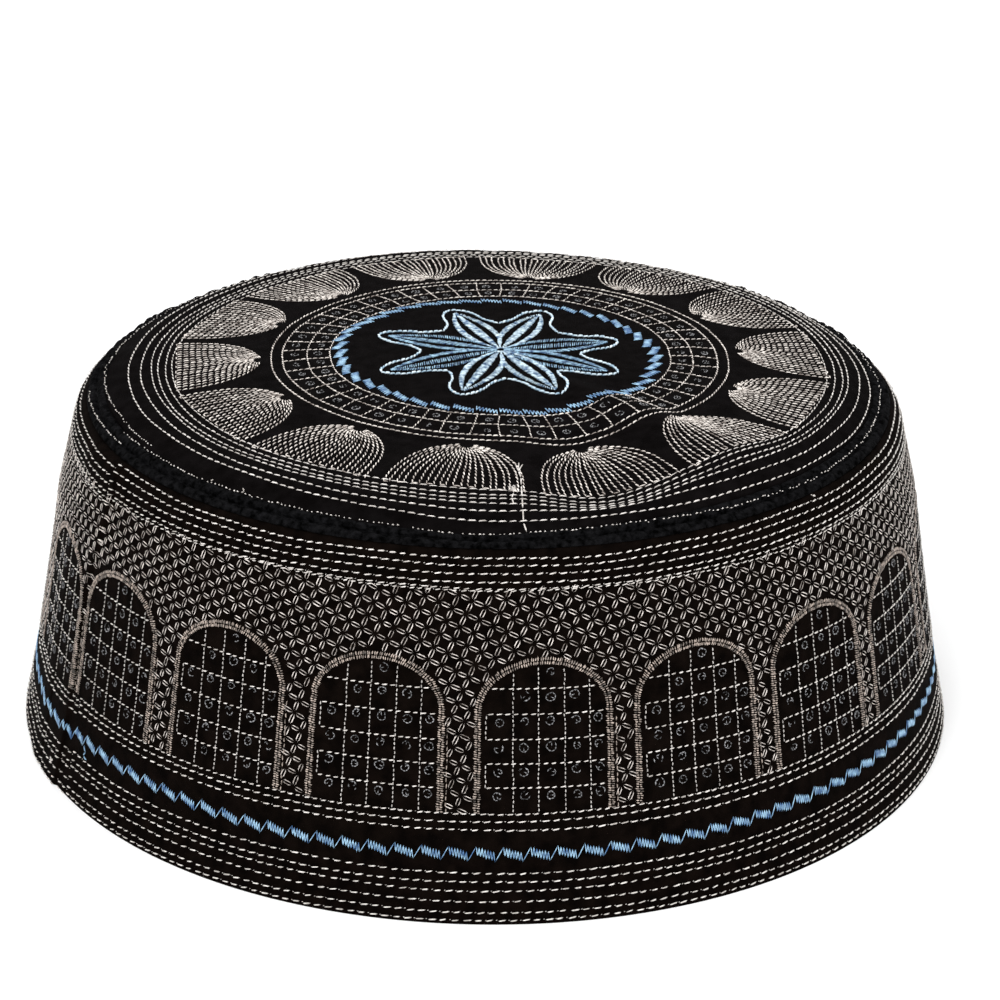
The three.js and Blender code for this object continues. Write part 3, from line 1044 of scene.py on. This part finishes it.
# The strip's gathers: middle and half width of each row as shares across the strip,
# and its puffs' shift and lean
GATHER_COUNT, GATHER_DEPTH = 132, 1.0
PUFF_ROWS = ((0.25, 0.27, 0.0, 1.2), (0.76, 0.26, 1.1, -1.6))
PUFF_SLOPE, PUFF_SHARPNESS, PUFF_FLOOR = 0.5, 0.65, 0.1
SEWN_DEPTH, SEWN_HALF = 0.40, 0.1


def gather_relief(degrees, s):
    """Two rows of small puffs, either side of the strip's sewn middle."""
    turn = np.radians(degrees)
    across = (s - LOWER_SEAM) / (UPPER_SEAM - LOWER_SEAM)
    bend = 1.9 * np.sin(11 * turn) + 1.5 * np.sin(27 * turn + 1.0) + 1.2 * np.sin(41 * turn)
    phase = (GATHER_COUNT * turn + bend) / 2
    fullness = 0.7 + 0.3 * np.sin(23 * turn + 0.6) * np.sin(7 * turn)
    puffs = 0.0
    for middle, half, shift, lean in PUFF_ROWS:
        row = np.clip(1.0 - np.abs(across - middle) / half, 0.0, 1.0) ** PUFF_SLOPE
        puff = np.abs(np.cos(phase + shift + lean * across)) ** PUFF_SHARPNESS
        puffs = puffs + row * (PUFF_FLOOR + (1.0 - PUFF_FLOOR) * puff)
    groove = SEWN_DEPTH * np.clip(1.0 - np.abs(across - 0.5) / SEWN_HALF, 0.0, 1.0)
    return GATHER_DEPTH * (fullness * puffs - groove)


ROW_PULL, ROW_PULL_REACH = 0.14, 0.6
# The band's cloth is left as it is this close to its two edges
PLAIN_FOOT, PLAIN_TOP = 0.2, 0.3


def band_relief(degrees, s):
    """Each stitched row pulls the cloth in a little."""
    pull = 0.0
    for row, _, _, size, seed in BAND_ROWS:
        level = row + wander(degrees, seed, size) + lap_shift(degrees)
        pull = pull + ROW_PULL * wave((s - level) / ROW_PULL_REACH)
    return np.where((s > PLAIN_FOOT) & (s < LOWER_SEAM - PLAIN_TOP), -pull, 0.0)


PUCKER_DEPTH, PUCKER_RADIUS, PUCKER_FADE = 0.10, 64.0, 6.0


def crown_relief(degrees, s):
    """Faint puckers between the crown's rings of stitching."""
    turn = np.radians(degrees)
    radius = outline_radius(s)
    outer = np.clip((radius - PUCKER_RADIUS) / PUCKER_FADE, 0.0, 1.0)
    return PUCKER_DEPTH * outer * np.sin(57 * turn + 2.0 * np.sin(9 * turn) + 0.9 * radius)


# Cloths: tones, scale of the mottle, scale and strength of the weave; the strip's mottle is
# painted shade and highlights
CLOTHS = {
    "band_cloth": ((0.0012, 0.0007, 0.0005), (0.0040, 0.0024, 0.0018), 380.0, 2600.0, 0.35),
    # The strip's near-black and dim grey tones are painted shade in its creases and painted
    # highlights on its puffs, laid at random places by the noise
    "strip_cloth": ((0.0001, 0.0001, 0.0001), (0.0075, 0.0074, 0.0082), 850.0, 1500.0, 1.0),
    "crown_cloth": ((0.0014, 0.0010, 0.0010), (0.0036, 0.0029, 0.0030), 380.0, 2600.0, 0.35),
}
# How finely the shells are divided: steps in degrees, outer and inner levels on the outline
BAND_STEP, LAP_STEPS, LAP_BEFORE, LAP_AFTER = 1.0, 0.15, 1.6, 0.6
BAND_LEVELS, ROW_HALF = (36, 10), 0.5
STRIP_POINTS, STRIP_LEVELS, STRIP_GAP = 12, (19, 3), 0.05
CROWN_POINTS, CROWN_EDGE, CROWN_HOLE = 288, 20.0, 3.0
CROWN_EDGE_LEVELS, CROWN_FLAT_START, CROWN_FLAT_LEVELS, CROWN_INNER_LEVELS = 26, 22.0, 18, 12


def round_steps(count):
    return np.linspace(0.0, 360.0, count, endpoint=False)


def cloth_shells():
    band_cloth, strip_cloth, crown_cloth = (
        cloth_material(name, *look) for name, look in CLOTHS.items())
    even = np.arange(0.0, 360.0, BAND_STEP)
    lap_end = max(LAP_EDGE[1]) + LAP_AFTER
    lap = np.arange(LAP_CREASE_ANGLE - LAP_BEFORE, lap_end, LAP_STEPS) % 360.0
    band_angles = np.unique(np.round(np.concatenate([even, lap]), 4))
    rows = np.array([row[0] for row in BAND_ROWS])
    levels, inner = (np.linspace(0.0, LOWER_SEAM, count) for count in BAND_LEVELS)
    levels = np.concatenate([levels, rows - ROW_HALF, rows, rows + ROW_HALF])
    levels = np.unique(np.clip(np.round(levels, 2), 0.0, LOWER_SEAM))
    band = ring_shell(
        "band_shell", band_angles, levels, inner, BAND_WALL, band_relief, band_cloth)
    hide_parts("side_band")
    foot, top = LOWER_SEAM + STRIP_GAP, UPPER_SEAM - STRIP_GAP
    levels, inner = (np.linspace(foot, top, count) for count in STRIP_LEVELS)
    strip = ring_shell(
        "strip_shell", round_steps(GATHER_COUNT * STRIP_POINTS), levels, inner,
        STRIP_WALL, gather_relief, strip_cloth)
    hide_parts("seam_strip")
    middle = OUTLINE_END - CROWN_HOLE
    edge = np.linspace(UPPER_SEAM, UPPER_SEAM + CROWN_EDGE, CROWN_EDGE_LEVELS)
    flat = np.linspace(UPPER_SEAM + CROWN_FLAT_START, middle, CROWN_FLAT_LEVELS)
    crown = dish_shell(
        "crown_shell", round_steps(CROWN_POINTS), np.concatenate([edge, flat]),
        np.linspace(UPPER_SEAM, middle, CROWN_INNER_LEVELS),
        CROWN_WALL, crown_relief, crown_cloth)
    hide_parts("crown_panel")


# Threads: tones, roughness and, where it isn't the common one, the scale of the tones; the wide
# span from dark to light tone is partly painted highlights and shade
THREADS = {
    "pale_thread": ((0.36, 0.33, 0.30), (0.78, 0.74, 0.70), 0.42),
    "grid_thread": ((0.26, 0.24, 0.225), (0.58, 0.55, 0.52), 0.42),
    "fan_thread": ((0.19, 0.155, 0.135), (0.95, 0.88, 0.81), 0.38),
    "brown_thread": ((0.105, 0.084, 0.070), (0.80, 0.73, 0.68), 0.36),
    "border_thread": ((0.026, 0.020, 0.015), (0.50, 0.41, 0.35), 0.40, 1300.0),
    "blue_thread": ((0.04, 0.12, 0.28), (0.34, 0.56, 0.74), 0.38, 700.0),
    "flower_thread": ((0.035, 0.11, 0.24), (0.70, 0.86, 0.93), 0.34, 1100.0),
    "side_petal_thread": ((0.02, 0.07, 0.18), (0.36, 0.58, 0.74), 0.36, 1100.0),
    "rope_thread": ((0.26, 0.40, 0.52), (0.74, 0.86, 0.93), 0.36),
    # Sequins: near-black, with grey patches laid at random by the noise that are painted glints of
    # their gloss
    "sequin": ((0.005, 0.005, 0.006), (0.28, 0.28, 0.29), 0.25),
}
# Pieces of thread work: the thread and the row's material slot of each
THREAD_WORK = {
    "band_rows": ("pale_thread", "pale_thread"),
    "band_zigzag": ("blue_thread", "blue_thread"),
    "loose_ends": ("pale_thread", "pale_thread"),
    "window_rows": ("pale_thread", "pale_thread"),
    "window_columns": ("grid_thread", "pale_thread"),
    "window_borders": ("border_thread", "brown_thread"),
    "band_lattice": ("brown_thread", "brown_thread"),
    "band_sequins": ("sequin", "sequin"),
    "crown_rows": ("pale_thread", "pale_thread"),
    "crown_cells": ("fan_thread", "brown_thread"),
    "crown_sequins": ("sequin", "sequin"),
    "crown_fans": ("fan_thread", "pale_thread"),
    "flower": ("flower_thread", "blue_thread"),
    "flower_sides": ("side_petal_thread", "blue_thread"),
    "flower_outline": ("rope_thread", "blue_thread"),
    "crown_blocks": ("blue_thread", "blue_thread"),
}


def embroidery():
    threads = {name: thread_material(name, *look) for name, look in THREADS.items()}
    work = {name: Skein(name, threads[thread], slot)
            for name, (thread, slot) in THREAD_WORK.items()}
    running_rows(work["band_rows"])
    band_zigzag(work["band_zigzag"])
    strip_tacks(work["loose_ends"])
    loose_ends(work["loose_ends"], work["band_zigzag"])
    for centre in WINDOW_CENTRES:
        window_grid(work["window_rows"], work["window_columns"], centre)
        window_border(work["window_borders"], centre)
    lattice(work["band_lattice"])
    sequins(work["band_sequins"])
    crown_rows(work["crown_rows"], work["crown_cells"])
    crown_cells(work["crown_cells"], work["crown_sequins"])
    crown_fans(work["crown_fans"])
    satin_blocks(work["crown_blocks"])
    flower(work["flower"], work["flower_sides"], work["flower_outline"])
    for skein in work.values():
        skein.make()


# Studio, in metres. Lights: place, size and power of each; all aim at the cap's middle.
LIGHTS = {
    "key": ((-0.45, -0.75, 0.85), 0.6, 9.0),
    "fill": ((0.75, -0.60, 0.55), 0.6, 4.0),
    "top": ((0.0, 0.35, 1.0), 0.7, 5.0),
}
LIGHT_AIM = Vector((0.0, 0.0, 0.04))
SKY_STRENGTH = 0.75
FLOOR_TONES, FLOOR_REACH = (0.86, 0.90), 12.0


def camera():
    data = bpy.data.cameras.new("camera")
    data.lens, data.sensor_width = CAMERA_LENS, SENSOR_WIDTH
    data.clip_start, data.clip_end = 0.01, 20.0
    tilt = Matrix.Rotation(math.radians(90.0 - CAMERA_ELEVATION), 4, "X")
    roll = Matrix.Rotation(math.radians(CAMERA_ROLL), 4, "Z")
    viewer = in_scene("camera", data)
    viewer.matrix_world = Matrix.Translation(Vector(CAMERA_PLACE) * MM) @ tilt @ roll
    bpy.context.scene.camera = viewer


def studio():
    dark, light = ((tone, tone, tone) for tone in FLOOR_TONES)
    material = noisy_material(
        "floor", dark, light, {"Scale": 3.0}, (0.0, 1.0), {"Roughness": 0.8})
    mesh = bpy.data.meshes.new("floor")
    corners = [(x * FLOOR_REACH, y * FLOOR_REACH, 0)
               for x, y in ((-1, -1), (1, -1), (1, 1), (-1, 1))]
    mesh.from_pydata(corners, [], [(0, 1, 2, 3)])
    mesh.materials.append(material)
    floor = in_scene("floor", mesh)

    world = bpy.data.worlds.new("studio")
    world.use_nodes = True
    background = world.node_tree.nodes["Background"]
    set_inputs(background, {"Color": (1.0, 1.0, 1.0, 1.0), "Strength": SKY_STRENGTH})
    bpy.context.scene.world = world
    bpy.context.scene.view_settings.view_transform = "Standard"
    for name, (place, size, power) in LIGHTS.items():
        data = bpy.data.lights.new(name, "AREA")
        data.size, data.energy = size, power
        light = in_scene(name, data)
        light.location = place
        light.rotation_euler = (LIGHT_AIM - Vector(place)).to_track_quat("-Z", "Y").to_euler()


camera()
studio()
cloth_shells()
embroidery()
